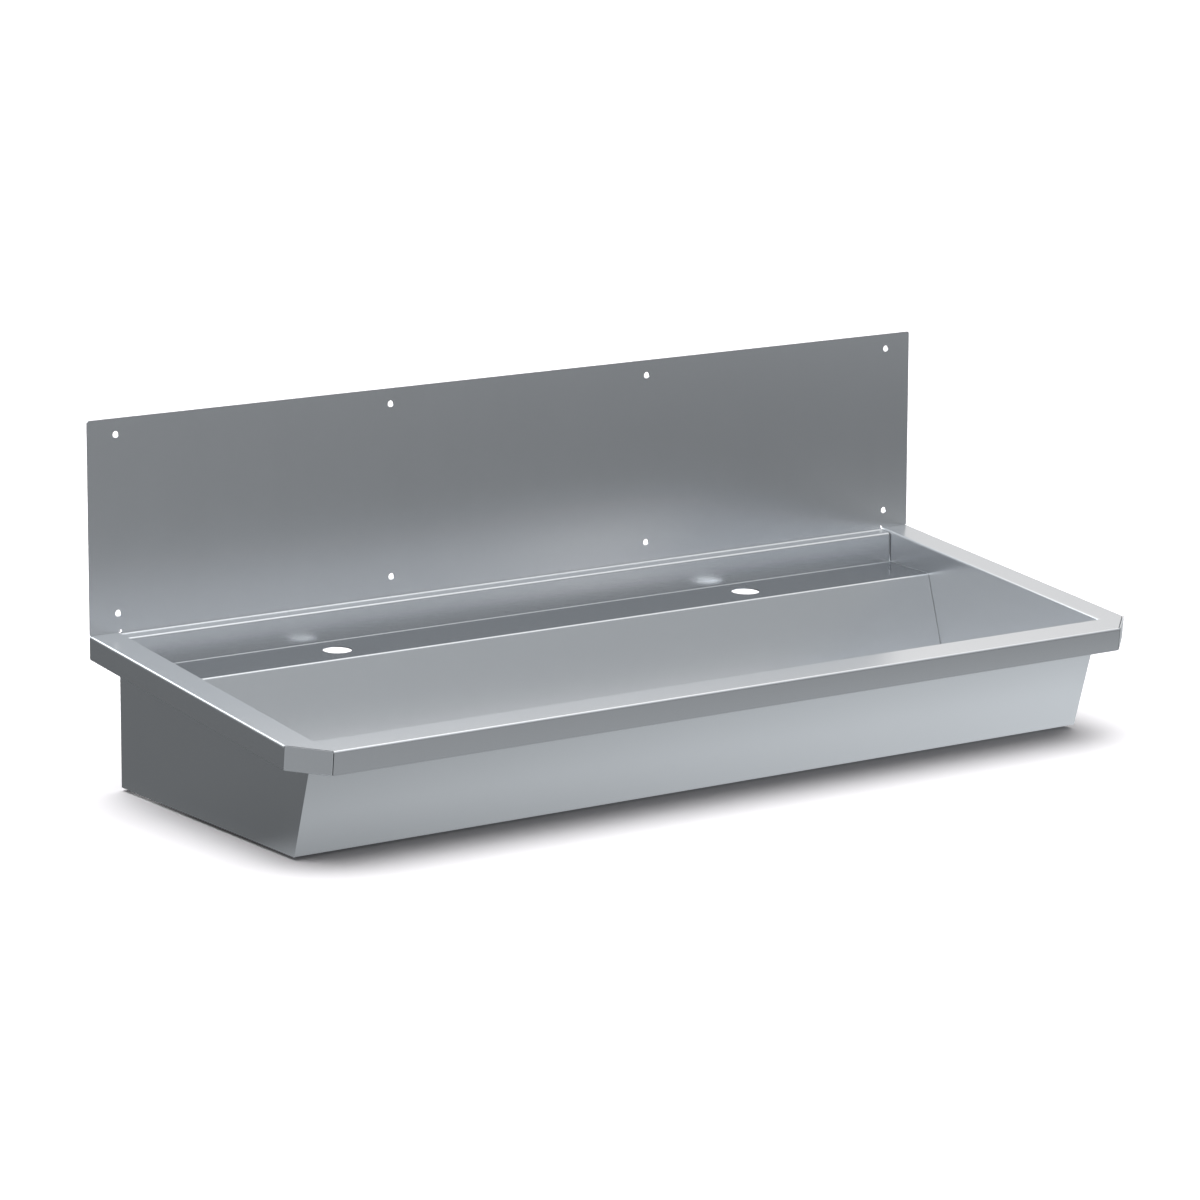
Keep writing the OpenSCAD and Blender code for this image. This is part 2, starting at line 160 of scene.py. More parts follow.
# Two cards stand for the room. Only reflections in the steel see them, and they are dimmed for
# light that goes on from the steel to the paper, so that the paper keeps its shadow.
dimmed = 0.15
card_r = 2.6
card_middle = Vector((0.0, -0.2, floor_level + 0.0003))
neutral = (1.0, 1.0, 1.0)
cold = (0.95, 1.0, 1.04)

# The lying card is the ground: it is dark beside the sink's back and paler ahead of it on the
# right. Its tones are given at shares of two metres ahead of the wall, on the left and the right.
card_sides = 64
half_sink = 0.6
ahead_reach = 2.0
left_tones = ((0.0, 0.136), (0.14, 0.118), (0.197, 0.31), (0.222, 0.40), (0.272, 0.30),
              (0.80, 0.25))
right_tones = ((0.0, 0.41), (0.09, 0.60), (0.222, 0.62), (0.272, 0.45), (0.463, 0.12),
               (0.80, 0.20))
# Under the wall's plane the ground is bright: the upright behind the taps reflects it through
# the tap holes. Farther back, and at the sink's left end, it isn't.
back_from, back_to = -0.05, 0.25
back_tones = ((0.067, 1.0), (0.2, 4.5), (0.56, 4.5), (0.72, 0.3))
back_left_end = (-0.45, -0.35)
# Far out on the right the ground falls off to this share
right_falls = (0.8, 1.9)
right_falls_to = 0.7
turns = [math.tau * i / card_sides for i in range(card_sides)]
points = [(card_middle.x + card_r * math.sin(a), card_middle.y + card_r * math.cos(a),
           card_middle.z) for a in turns]
lying_card = mesh_object("lying_grey_card", points, [tuple(range(card_sides))])
grey, tree, out = new_material("lying_grey_card")
path = add_node(tree, "ShaderNodeLightPath")
for_steel = add_node(tree, "ShaderNodeMapRange",
                     {"Value": path.outputs["Diffuse Depth"], "To Min": 1.0, "To Max": dimmed})
where = add_node(tree, "ShaderNodeTexCoord")
place = add_node(tree, "ShaderNodeSeparateXYZ", {0: where.outputs["Object"]})
ahead = add_node(tree, "ShaderNodeMapRange",
                 {"Value": place.outputs["Y"], "From Min": 0.0, "From Max": -ahead_reach})
backward = add_node(tree, "ShaderNodeMapRange",
                    {"Value": place.outputs["Y"], "From Min": back_from, "From Max": back_to})
ramps = []
for way, knots, tint in ((ahead, left_tones, cold), (ahead, right_tones, cold),
                         (backward, back_tones, neutral)):
    tones = add_node(tree, "ShaderNodeValToRGB", {0: way.outputs[0]})
    for i, (at, tone) in enumerate(knots):
        stop = tones.color_ramp.elements[i] if i < 2 else tones.color_ramp.elements.new(at)
        stop.position = at
        stop.color = [tone * c for c in tint] + [1.0]
    ramps.append(tones.outputs[0])
on_left, on_right, behind = ramps
across = add_node(tree, "ShaderNodeMapRange",
                  {"Value": place.outputs["X"], "From Min": -half_sink, "From Max": half_sink})
ground = add_node(tree, "ShaderNodeMix", {0: across.outputs[0], 6: on_left, 7: on_right},
                  data_type="RGBA")
far_right = add_node(tree, "ShaderNodeMapRange",
                     {"Value": place.outputs["X"], "From Min": right_falls[0],
                      "From Max": right_falls[1], "To Min": 1.0, "To Max": right_falls_to})
past_left = add_node(tree, "ShaderNodeMapRange",
                     {"Value": place.outputs["X"], "From Min": back_left_end[0],
                      "From Max": back_left_end[1]})
behind = add_node(tree, "ShaderNodeMix", {0: past_left.outputs[0], 2: 1.0, 3: behind})
strength = add_node(tree, "ShaderNodeMath", {0: behind.outputs[0], 1: far_right.outputs[0]},
                    operation="MULTIPLY")
strength = add_node(tree, "ShaderNodeMath", {0: strength.outputs[0], 1: for_steel.outputs[0]},
                    operation="MULTIPLY")
glow = add_node(tree, "ShaderNodeEmission",
                {"Color": ground.outputs[2], "Strength": strength.outputs[0]})
tree.links.new(glow.outputs[0], out.inputs["Surface"])
lying_card.data.materials.append(grey)

# The domed card is the room above: its grey grows paler upwards. On it are a small bright lamp
# low behind on the left, which draws the line along the left rim, and a wide one high on the right.
dome_rings = 24
dome_sides = 48
wall_tones = ((0.0, 0.20), (0.06, 0.31), (0.14, 0.36), (0.27, 0.36), (0.42, 0.60), (0.60, 0.65),
              (0.75, 1.0))
# The way to each lamp, the cosines at which its edge begins and ends, and its strength
dome_lamps = (((-0.32, 0.79, 0.52), 0.94, 0.985, 2.4), ((0.50, 0.38, 0.78), 0.70, 0.88, 0.36))
climbs = [math.radians(90) * i / dome_rings for i in range(dome_rings)]
turns = [math.tau * k / dome_sides for k in range(dome_sides)]
points = [card_middle + card_r * Vector((math.cos(up) * math.sin(turn),
                                         math.cos(up) * math.cos(turn), math.sin(up)))
          for up in climbs for turn in turns]
points.append(card_middle + Vector((0, 0, card_r)))
faces = []
for i in range(dome_rings):
    for k in range(dome_sides):
        here, beside = i * dome_sides + k, i * dome_sides + (k + 1) % dome_sides
        if i < dome_rings - 1:
            faces.append((here, here + dome_sides, beside + dome_sides, beside))
        else:
            faces.append((here, len(points) - 1, beside))
domed_card = mesh_object("domed_grey_card", points, faces)
grey, tree, out = new_material("domed_grey_card")
where = add_node(tree, "ShaderNodeTexCoord")
from_middle = add_node(tree, "ShaderNodeVectorMath",
                       {0: where.outputs["Object"], 1: tuple(card_middle)}, operation="SUBTRACT")
way = add_node(tree, "ShaderNodeVectorMath", {0: from_middle.outputs[0]}, operation="NORMALIZE")
part = add_node(tree, "ShaderNodeSeparateXYZ", {0: way.outputs[0]})
steepness = add_node(tree, "ShaderNodeMath", {0: part.outputs["Z"]}, operation="ARCSINE")
height = add_node(tree, "ShaderNodeMath", {0: steepness.outputs[0], 1: 2 / math.pi},
                  operation="MULTIPLY")
bright = add_node(tree, "ShaderNodeValToRGB", {0: height.outputs[0]})
for i, (at, tone) in enumerate(wall_tones):
    stop = bright.color_ramp.elements[i] if i < 2 else bright.color_ramp.elements.new(at)
    stop.position = at
    stop.color = (tone, tone, tone, 1)
for way_to, begin, full, level_of_lamp in dome_lamps:
    to_lamp = add_node(tree, "ShaderNodeVectorMath", {0: way.outputs[0], 1: way_to},
                       operation="DOT_PRODUCT")
    lamp = add_node(tree, "ShaderNodeMapRange",
                    {"Value": to_lamp.outputs["Value"], "From Min": begin, "From Max": full},
                    interpolation_type="SMOOTHSTEP")
    bright = add_node(tree, "ShaderNodeMath",
                      {0: lamp.outputs[0], 1: level_of_lamp, 2: bright.outputs[0]},
                      operation="MULTIPLY_ADD")
# The grey is cold, and neutral where the wide lamp shows
shade = add_node(tree, "ShaderNodeMix", {0: lamp.outputs[0], 6: cold + (1,), 7: neutral + (1,)},
                 data_type="RGBA")
path = add_node(tree, "ShaderNodeLightPath")
for_steel = add_node(tree, "ShaderNodeMapRange",
                     {"Value": path.outputs["Diffuse Depth"], "To Min": 1.0, "To Max": dimmed})
bright = add_node(tree, "ShaderNodeMath", {0: bright.outputs[0], 1: for_steel.outputs[0]},
                  operation="MULTIPLY")
glow = add_node(tree, "ShaderNodeEmission",
                {"Color": shade.outputs[2], "Strength": bright.outputs[0]})
tree.links.new(glow.outputs[0], out.inputs["Surface"])
domed_card.data.materials.append(grey)
for card in (domed_card, lying_card):
    for kind in ("camera", "diffuse", "transmission", "volume_scatter", "shadow"):
        setattr(card, "visible_" + kind, False)

# ---- The folded sheets ----
# Five sheets of 1.2 mm chromium nickel steel, cut by laser, folded on a press brake and welded
# along their joints. They keep the satin finish of the rolled sheet.
sheet_colour = "#f6f7f9"
dull_share = 0.985  # how bright the duller streaks are
satin_rough = {"To Min": 0.246, "To Max": 0.268}
grain_scale = (2000.0, 2000.0, 30.0)  # 0.5 mm wide and 33 mm long
streak_scale = (200.0, 200.0, 3.0)  # 5 mm wide and 330 mm long
cloud_scale = 7.0  # 140 mm
middle_of_noise = {"From Min": 0.35, "From Max": 0.65}
# Painted shade: the ledge's top is coloured darker for the shade under the splashback and the
# upright behind it; this colour ends across its front fold
ledge_shade_colour = "#a6a9ad"
ledge_shade_ends = {"From Min": -0.0972, "From Max": -0.0952}


def satin_steel(name, with_ledge_shade=False):
    """Satin ground stainless steel: a clear reflection with a soft haze round it, because the
    grain leaves smooth and rough spots side by side."""
    made, tree, out = new_material(name)
    where = add_node(tree, "ShaderNodeTexCoord")
    # Upright grain: the real one is 0.1 mm wide, and is drawn 0.5 mm wide so that it just shows
    space = add_node(tree, "ShaderNodeMapping",
                     {"Vector": where.outputs["Object"], "Scale": grain_scale})
    grain = add_node(tree, "ShaderNodeTexNoise",
                     {"Vector": space.outputs[0], "Scale": 1.0, "Detail": 2.0, "Roughness": 0.6})
    # Wider streaks, some 5 mm apart, where the belt pressed a little harder
    space = add_node(tree, "ShaderNodeMapping",
                     {"Vector": where.outputs["Object"], "Scale": streak_scale})
    streak = add_node(tree, "ShaderNodeTexNoise",
                      {"Vector": space.outputs[0], "Scale": 1.0, "Detail": 3.0, "Roughness": 0.7})
    cloud = add_node(tree, "ShaderNodeTexNoise",
                     {"Vector": where.outputs["Object"], "Scale": cloud_scale, "Detail": 3.0})
    wide = add_node(tree, "ShaderNodeMix", {0: 0.5, 2: streak.outputs[0], 3: cloud.outputs[0]})
    both = add_node(tree, "ShaderNodeMix", {0: 0.35, 2: grain.outputs[0], 3: wide.outputs[0]})
    rough = add_node(tree, "ShaderNodeMapRange",
                     {"Value": both.outputs[0], **middle_of_noise, **satin_rough})
    share = add_node(tree, "ShaderNodeMapRange", {"Value": wide.outputs[0], **middle_of_noise})
    clean = linear(sheet_colour)
    dull = [c * dull_share for c in clean[:3]] + [1.0]
    shade = add_node(tree, "ShaderNodeMix", {0: share.outputs[0], 6: dull, 7: clean},
                     data_type="RGBA")
    # Painted shade: the ledge's top gets a darker colour for the shade that falls on it
    if with_ledge_shade:
        place = add_node(tree, "ShaderNodeSeparateXYZ", {0: where.outputs["Object"]})
        on_shaded_ledge = add_node(tree, "ShaderNodeMapRange", {"Value": place.outputs["Y"], **ledge_shade_ends})
        shade = add_node(tree, "ShaderNodeMix",
                         {0: on_shaded_ledge.outputs[0], 6: shade.outputs[2], 7: linear(ledge_shade_colour)},
                         data_type="RGBA")
    steel = add_node(tree, "ShaderNodeBsdfPrincipled",
                     {"Base Color": shade.outputs[2], "Metallic": 1.0,
                      "Roughness": rough.outputs[0]})
    tree.links.new(steel.outputs[0], out.inputs["Surface"])
    return made


def finish_node(node, material):
    """Gives a CAD node its better material."""
    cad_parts[node].data.materials.clear()
    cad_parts[node].data.materials.append(material)


satin = satin_steel("satin_stainless_sheet")
for node in ("splashback_sheet", "basin_sheet", "left_end_sheet", "right_end_sheet"):
    finish_node(node, satin)
# The tap ledge is a sheet of its own. Its top is coloured darker as painted shade, for the shade
# under the splashback behind it; the lip under its front fold is ground together with the basin
finish_node("tap_ledge", satin_steel("satin_stainless_ledge_painted_shade", with_ledge_shade=True))

# ---- The rounded edges of the skirts ----
# The cut edges that hands reach are rounded with a belt grinder to a half round, 1.2 mm across.
# Each one is a thin line of light or shade under the skirt.
half_sheet = 0.0006
rim_depth = 0.468
rim_drop = 0.0485
rim_fall = math.atan2(rim_drop, rim_depth)
rim_length = rim_depth / math.cos(rim_fall)
skirt_reach = 0.0275
edge_drop = -skirt_reach - 0.0001  # the bead's middle lies just below the sheet's cut edge


def on_rim(x, along, up):
    """A point given by its place in the falling plane of the rim."""
    return Vector((x, along * math.cos(rim_fall) - up * math.sin(rim_fall),
                   along * math.sin(rim_fall) + up * math.cos(rim_fall)))


def swept_bead():
    """Builds the tree that sweeps a round bead along a path of edges, uneven where it is welded."""
    tree = bpy.data.node_groups.new("swept_bead", "GeometryNodeTree")
    tree.interface.new_socket("Path", in_out="INPUT", socket_type="NodeSocketGeometry")
    sockets = {}
    for name, value in (("Radius", 0.0006), ("Corner", 0.0015), ("Step", 0.003),
                        ("Unevenness", 0.0)):
        made = tree.interface.new_socket(name, in_out="INPUT", socket_type="NodeSocketFloat")
        made.default_value = value
        sockets[name] = made.identifier
    made = tree.interface.new_socket("Finish", in_out="INPUT", socket_type="NodeSocketMaterial")
    sockets["Finish"] = made.identifier
    tree.interface.new_socket("Bead", in_out="OUTPUT", socket_type="NodeSocketGeometry")
    given = add_node(tree, "NodeGroupInput")
    path = add_node(tree, "GeometryNodeMeshToCurve", {"Mesh": given.outputs["Path"]})
    path = add_node(tree, "GeometryNodeFilletCurve",
                    {"Curve": path.outputs[0], "Radius": given.outputs["Corner"], "Count": 6},
                    mode="POLY")
    path = add_node(tree, "GeometryNodeResampleCurve",
                    {"Curve": path.outputs[0], "Length": given.outputs["Step"]}, mode="LENGTH")
    # Ripples of a weld, some 4 mm long
    ripple = add_node(tree, "ShaderNodeTexNoise", {"Scale": 260.0, "Detail": 1.0})
    uneven = add_node(tree, "ShaderNodeMath", {0: ripple.outputs[0], 1: 0.5}, operation="SUBTRACT")
    width = add_node(tree, "ShaderNodeMath",
                     {0: uneven.outputs[0], 1: given.outputs["Unevenness"], 2: 1.0},
                     operation="MULTIPLY_ADD")
    ring = add_node(tree, "GeometryNodeCurvePrimitiveCircle",
                    {"Resolution": 12, "Radius": given.outputs["Radius"]})
    bead = add_node(tree, "GeometryNodeCurveToMesh",
                    {"Curve": path.outputs[0], "Profile Curve": ring.outputs[0],
                     "Scale": width.outputs[0], "Fill Caps": True})
    smooth = add_node(tree, "GeometryNodeSetShadeSmooth", {"Geometry": bead.outputs[0]})
    whole = add_node(tree, "GeometryNodeRealizeInstances", {"Geometry": smooth.outputs[0]})
    done = add_node(tree, "GeometryNodeSetMaterial",
                    {"Geometry": whole.outputs[0], "Material": given.outputs["Finish"]})
    add_node(tree, "NodeGroupOutput", {"Bead": done.outputs[0]})
    return tree, sockets


def make_plain(piece):
    """Turns a piece with its modifiers into a plain mesh with its faces outwards."""
    bpy.context.view_layer.update()
    evaluated = piece.evaluated_get(bpy.context.evaluated_depsgraph_get())
    plain = bpy.data.meshes.new_from_object(evaluated)
    piece.modifiers.clear()
    piece.data = plain
    work = bmesh.new()
    work.from_mesh(plain)
    bmesh.ops.remove_doubles(work, verts=work.verts, dist=1e-7)
    bmesh.ops.recalc_face_normals(work, faces=work.faces)
    work.to_mesh(plain)
    work.free()


bead_tree, bead_sockets = swept_bead()


def bead_along(name, points, finish, slot="stainless_sheet", node=None, **sizes):
    """Sweeps a bead along the points, from the tree above."""
    piece = mesh_object(name, points, [])
    piece.data.edges.add(len(points) - 1)
    for i, edge in enumerate(piece.data.edges):
        edge.vertices = (i, i + 1)
    swept = piece.modifiers.new("swept_bead", "NODES")
    swept.node_group = bead_tree
    swept[bead_sockets["Finish"]] = finish
    for size, value in sizes.items():
        swept[bead_sockets[size.capitalize()]] = value
    make_plain(piece)
    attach(piece, "root")
    if node:
        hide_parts(node)


# Belt-ground steel edge: duller than the sheet, with the marks of the belt along it. The real
# marks are 0.2 mm apart, and are drawn some 2 mm apart so that they show.
ground_edge, tree, out = new_material("belt_ground_edge")
most_of_noise = {"From Min": 0.3, "From Max": 0.7}
where = add_node(tree, "ShaderNodeTexCoord")
marks = add_node(tree, "ShaderNodeTexNoise",
                 {"Vector": where.outputs["Object"], "Scale": 420.0, "Detail": 2.0})
rough = add_node(tree, "ShaderNodeMapRange",
                 {"Value": marks.outputs[0], **most_of_noise, "To Min": 0.28, "To Max": 0.42})
steel = add_node(tree, "ShaderNodeBsdfPrincipled",
                 {"Base Color": linear("#dfe1e4"), "Metallic": 1.0, "Roughness": rough.outputs[0]})
tree.links.new(steel.outputs[0], out.inputs["Surface"])

wall_x = 0.5605  # the end walls' inner faces
side_rim = 0.0395
corner_land = 0.001  # rim left between the trough's corner and the cut-off corner
seam_step = 0.00064  # the open seam of 0.9 mm, measured along the sink
bead_play = 0.0003
flap_stop = 0.0014  # how far behind the front face the flap's bead stops
skirt_back = -0.0036
skirt_end_x = 0.5600
fold_r = 0.0021  # radius of a fold at the middle of the sheet
flap_start = side_rim - corner_land
front_face = half_sheet - rim_length
for side, name in ((-1, "left"), (1, "right")):
    outer = side * (half_sink - half_sheet)
    flap_end = side * (wall_x + corner_land + seam_step + bead_play)
    along = [on_rim(outer, skirt_back, edge_drop),
             on_rim(outer, flap_start - rim_length + bead_play, edge_drop),
             on_rim(flap_end, -rim_length + flap_stop, edge_drop)]
    bead_along(name + "_skirt_edge", along, ground_edge, radius=half_sheet, corner=fold_r)
along = [on_rim(x, front_face, edge_drop) for x in (-skirt_end_x, skirt_end_x)]
bead_along("front_skirt_edge", along, ground_edge, radius=half_sheet, corner=0.0)

# ---- The cut edges in the seams ----
# Where no hand reaches, the sheets keep their laser-cut edges: behind the corner flaps, at the
# ends of the front skirt and at the ends of the upright behind the taps. Their dark beads are also
# painted shade: they fill the open seams and slits with dark grey, for the shade inside them.

# Laser-cut steel edge: left as cut, dull and dark grey with oxide in patches of about 2 mm.
# Its dark grey is partly painted shade, for the shade in the seams it lies in
cut_edge_and_seam_shade, tree, out = new_material("laser_cut_edge")
where = add_node(tree, "ShaderNodeTexCoord")
oxide = add_node(tree, "ShaderNodeTexNoise",
                 {"Vector": where.outputs["Object"], "Scale": 600.0, "Detail": 2.0})
shade = add_node(tree, "ShaderNodeMix",
                 {0: oxide.outputs[0], 6: linear("#303336"), 7: linear("#4c5053")},
                 data_type="RGBA")
steel = add_node(tree, "ShaderNodeBsdfPrincipled",
                 {"Base Color": shade.outputs[2], "Metallic": 1.0, "Roughness": 0.55})
tree.links.new(steel.outputs[0], out.inputs["Surface"])

# The rim's cut corner runs at 45 degrees in the slit, 2.35 mm inside the flap's outer face;
# its dark bead lies in the slit as painted shade
corner_inset = 0.00235
corner_line = wall_x + corner_land - corner_inset * math.sqrt(2)
corner_ends = (0.5972, skirt_end_x)
skirt_cut_z = (-0.0022, -0.0270)
upright_x, upright_y = 0.5591, -0.0176
upright_z = (-0.0070, -0.0408)
for side, name in ((-1, "left"), (1, "right")):
    for seam, along in (
            ("_rim_cut", [on_rim(side * x, x - corner_line - rim_length, -half_sheet)
                          for x in corner_ends]),
            ("_skirt_cut", [on_rim(side * wall_x, front_face, up) for up in skirt_cut_z]),
            ("_upright_cut", [(side * upright_x, upright_y, z) for z in upright_z])):
        # Dark beads in the seams: painted shade, along with the real oxide of the cut
        bead_along(name + seam, along, cut_edge_and_seam_shade, radius=half_sheet, corner=0.0)

# ---- The welds inside the trough ----
# The end walls, the basin and the ledge are joined by fine TIG welds without filler. Each is ground
# to a narrow fillet: a bright line behind the ledge and a dull one down the corners of the basin.

# Ground weld: smooth steel with slightly darker, warmer clouds of some 20 mm from the heat
weld, tree, out = new_material("ground_tig_weld")
where = add_node(tree, "ShaderNodeTexCoord")
heat = add_node(tree, "ShaderNodeTexNoise",
                {"Vector": where.outputs["Object"], "Scale": 55.0, "Detail": 3.0})
shade = add_node(tree, "ShaderNodeMix",
                 {0: heat.outputs[0], 6: linear("#a9acb0"), 7: linear("#cfd0d0")},
                 data_type="RGBA")
rough = add_node(tree, "ShaderNodeMapRange",
                 {"Value": heat.outputs[0], **most_of_noise, "To Min": 0.24, "To Max": 0.4})
steel = add_node(tree, "ShaderNodeBsdfPrincipled",
                 {"Base Color": shade.outputs[2], "Metallic": 1.0, "Roughness": rough.outputs[0]})
tree.links.new(steel.outputs[0], out.inputs["Surface"])

# Corners of the trough's section, each as its place in y and z
floor_z = -0.1838
wall_lean = math.radians(17.2)
ledge_back = (-0.0182, -0.042)
ledge_front = (-0.0977, -0.0441)
front_top = (-0.42722, -0.04427)
back_foot = (ledge_front[0] - (ledge_front[1] - floor_z) * math.tan(wall_lean), floor_z)
front_foot = (front_top[0] + (front_top[1] - floor_z) * math.tan(wall_lean), floor_z)
weld_top = (front_top[0] + 0.0004, front_top[1] - 0.0012)
weld_end = 0.0005  # how far before the end walls the ledge's weld stops
along = [(x, *ledge_back) for x in (-wall_x + weld_end, wall_x - weld_end)]
bead_along("ledge_back_weld", along, satin, radius=0.0006, corner=0.0, step=0.004, unevenness=0.12)
for side, name in ((-1, "left"), (1, "right")):
    along = [(side * wall_x, *corner)
             for corner in (ledge_back, ledge_front, back_foot, front_foot, weld_top)]
    bead_along(name + "_end_weld", along, weld, radius=0.0007, corner=0.0022, step=0.003,
               unevenness=0.3)

# ---- The strainer waste ----
# A slotted plate of bright pressed steel is drawn down on its seal by one screw, which ends in a
# brass insert. Under the floor a second seal and a moulded white body, with a pipe thread of an
# inch and a half, take the pull.

# Polished pressed steel: nearly a mirror, with the fine haze of a polishing mop
polished, tree, out = new_material("polished_stainless_pressing")
where = add_node(tree, "ShaderNodeTexCoord")
mop = add_node(tree, "ShaderNodeTexNoise",
               {"Vector": where.outputs["Object"], "Scale": 240.0, "Detail": 3.0})
rough = add_node(tree, "ShaderNodeMapRange",
                 {"Value": mop.outputs[0], **most_of_noise, "To Min": 0.09, "To Max": 0.17})
steel = add_node(tree, "ShaderNodeBsdfPrincipled",
                 {"Base Color": linear("#dddfe2"), "Metallic": 1.0, "Roughness": rough.outputs[0]})
tree.links.new(steel.outputs[0], out.inputs["Surface"])
finish_node("strainer_plate", polished)

# Turned metal, steel for the screw and brass for the insert: rings left by the tool. The real
# ones are 0.4 mm apart, and are drawn 2.5 mm apart so that they show.
ring_scale = 125.0
for node, name, dark, pale, roughness in (
        ("strainer_screw", "turned_stainless_steel", "#d2d4d6", "#d2d4d6", (0.16, 0.30)),
        ("screw_insert", "turned_brass", "#b8923f", "#d0ad5a", (0.2, 0.34))):
    turned, tree, out = new_material(name)
    where = add_node(tree, "ShaderNodeTexCoord")
    centred = add_node(tree, "ShaderNodeMapping",
                       {"Vector": where.outputs["Object"], "Location": (0.0, -outlet_y, 0.0)})
    rings = add_node(tree, "ShaderNodeTexWave",
                     {"Vector": centred.outputs[0], "Scale": ring_scale, "Distortion": 0.6,
                      "Detail": 1.0}, wave_type="RINGS", rings_direction="Z")
    rough = add_node(tree, "ShaderNodeMapRange",
                     {"Value": rings.outputs["Fac"], "To Min": roughness[0],
                      "To Max": roughness[1]})
    metal = add_node(tree, "ShaderNodeBsdfPrincipled",
                     {"Base Color": linear(dark), "Metallic": 1.0, "Roughness": rough.outputs[0]})
    if pale != dark:
        shade = add_node(tree, "ShaderNodeMix",
                         {0: rings.outputs["Fac"], 6: linear(dark), 7: linear(pale)},
                         data_type="RGBA")
        tree.links.new(shade.outputs[2], metal.inputs["Base Color"])
    tree.links.new(metal.outputs[0], out.inputs["Surface"])
    finish_node(node, turned)


def rounded_loop(corners, radius, steps=4):
    """Rounds the corners of a closed loop of flat points."""
    loop = []
    for i, corner in enumerate(corners):
        here = Vector(corner)
        before = Vector(corners[i - 1]) - here
        after = Vector(corners[(i + 1) % len(corners)]) - here
        reach = min(radius, before.length * 0.45, after.length * 0.45)
        start = here + before.normalized() * reach
        end = here + after.normalized() * reach
        for k in range(steps + 1):
            t = k / steps
            loop.append((1 - t) ** 2 * start + 2 * t * (1 - t) * here + t ** 2 * end)
    return loop


def turned_ring(name, loop, top, sides=96):
    """Turns a closed loop of radius and height, in millimetres, round the outlet's upright axis."""
    points = []
    for k in range(sides):
        angle = math.tau * k / sides
        points += [(p[0] / 1000 * math.cos(angle), outlet_y + p[0] / 1000 * math.sin(angle),
                    top + p[1] / 1000) for p in loop]
    count = len(loop)
    faces = [(k * count + i, k * count + (i + 1) % count,
              (k + 1) % sides * count + (i + 1) % count, (k + 1) % sides * count + i)
             for k in range(sides) for i in range(count)]
    return mesh_object(name, points, faces)


def add_part(name, parts, material, node):
    """Joins mesh parts into one smooth piece that stands for a CAD node."""
    work = bmesh.new()
    for part in parts:
        work.from_mesh(part.data)
        bpy.data.objects.remove(part)
    bmesh.ops.recalc_face_normals(work, faces=work.faces)
    for edge in work.edges:
        edge.smooth = len(edge.link_faces) == 2 and edge.calc_face_angle(0) < math.radians(35)
    for face in work.faces:
        face.smooth = True
    piece = mesh_object(name, [], [])
    work.to_mesh(piece.data)
    work.free()
    piece.data.materials.append(material)
    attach(piece, "root")
    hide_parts(node)
    return piece


# Moulded black rubber: dull, with a faint bloom in patches of 8 mm and the grain of the mould,
# which is really 0.1 mm and is drawn 0.6 mm wide so that it shows
rubber, tree, out = new_material("moulded_black_rubber")
where = add_node(tree, "ShaderNodeTexCoord")
bloom = add_node(tree, "ShaderNodeTexNoise",
                 {"Vector": where.outputs["Object"], "Scale": 130.0, "Detail": 3.0})
grain = add_node(tree, "ShaderNodeTexNoise",
                 {"Vector": where.outputs["Object"], "Scale": 1800.0, "Detail": 2.0})
shade = add_node(tree, "ShaderNodeMix",
                 {0: bloom.outputs[0], 6: linear("#1a1b1c"), 7: linear("#313234")},
                 data_type="RGBA")
rough = add_node(tree, "ShaderNodeMapRange",
                 {"Value": bloom.outputs[0], **most_of_noise, "To Min": 0.5, "To Max": 0.68})
bumps = add_node(tree, "ShaderNodeBump",
                 {"Height": grain.outputs[0], "Strength": 0.25, "Distance": 0.0001})
skin = add_node(tree, "ShaderNodeBsdfPrincipled",
                {"Base Color": shade.outputs[2], "Roughness": rough.outputs[0],
                 "Normal": bumps.outputs[0]})
tree.links.new(skin.outputs[0], out.inputs["Surface"])

# Two like seals: one on the floor's dished seat, one on the body; their section in millimetres
seat_z = -0.1893
body_top = -0.1919
seal_section = [(28.0, 0.0), (38.0, 0.0), (38.0, 1.4), (28.0, 1.4)]
for name, node, foot_z in (("strainer_seal_ring", "strainer_seal", seat_z),
                           ("outlet_seal_ring", "outlet_seal", body_top)):
    ring = turned_ring("seal_loop", rounded_loop(seal_section, 0.5), foot_z)
    add_part(name, [ring], rubber, node)

# Moulded white polypropylene: a soft sheen, cloudy over some 17 mm, with the texture of the mould,
# which is really 0.2 mm and is drawn 0.7 mm wide so that it shows
plastic, tree, out = new_material("moulded_white_polypropylene")
where = add_node(tree, "ShaderNodeTexCoord")
cloudy = add_node(tree, "ShaderNodeTexNoise",
                  {"Vector": where.outputs["Object"], "Scale": 60.0, "Detail": 3.0})
texture = add_node(tree, "ShaderNodeTexNoise",
                   {"Vector": where.outputs["Object"], "Scale": 1400.0, "Detail": 2.0})
shade = add_node(tree, "ShaderNodeMix",
                 {0: cloudy.outputs[0], 6: linear("#dcddd9"), 7: linear("#ecece8")},
                 data_type="RGBA")
rough = add_node(tree, "ShaderNodeMapRange",
                 {"Value": cloudy.outputs[0], **most_of_noise, "To Min": 0.36, "To Max": 0.46})
bumps = add_node(tree, "ShaderNodeBump",
                 {"Height": texture.outputs[0], "Strength": 0.15, "Distance": 0.0001})
skin = add_node(tree, "ShaderNodeBsdfPrincipled",
                {"Base Color": shade.outputs[2], "Roughness": rough.outputs[0], "IOR": 1.49,
                 "Normal": bumps.outputs[0]})
tree.links.new(skin.outputs[0], out.inputs["Surface"])

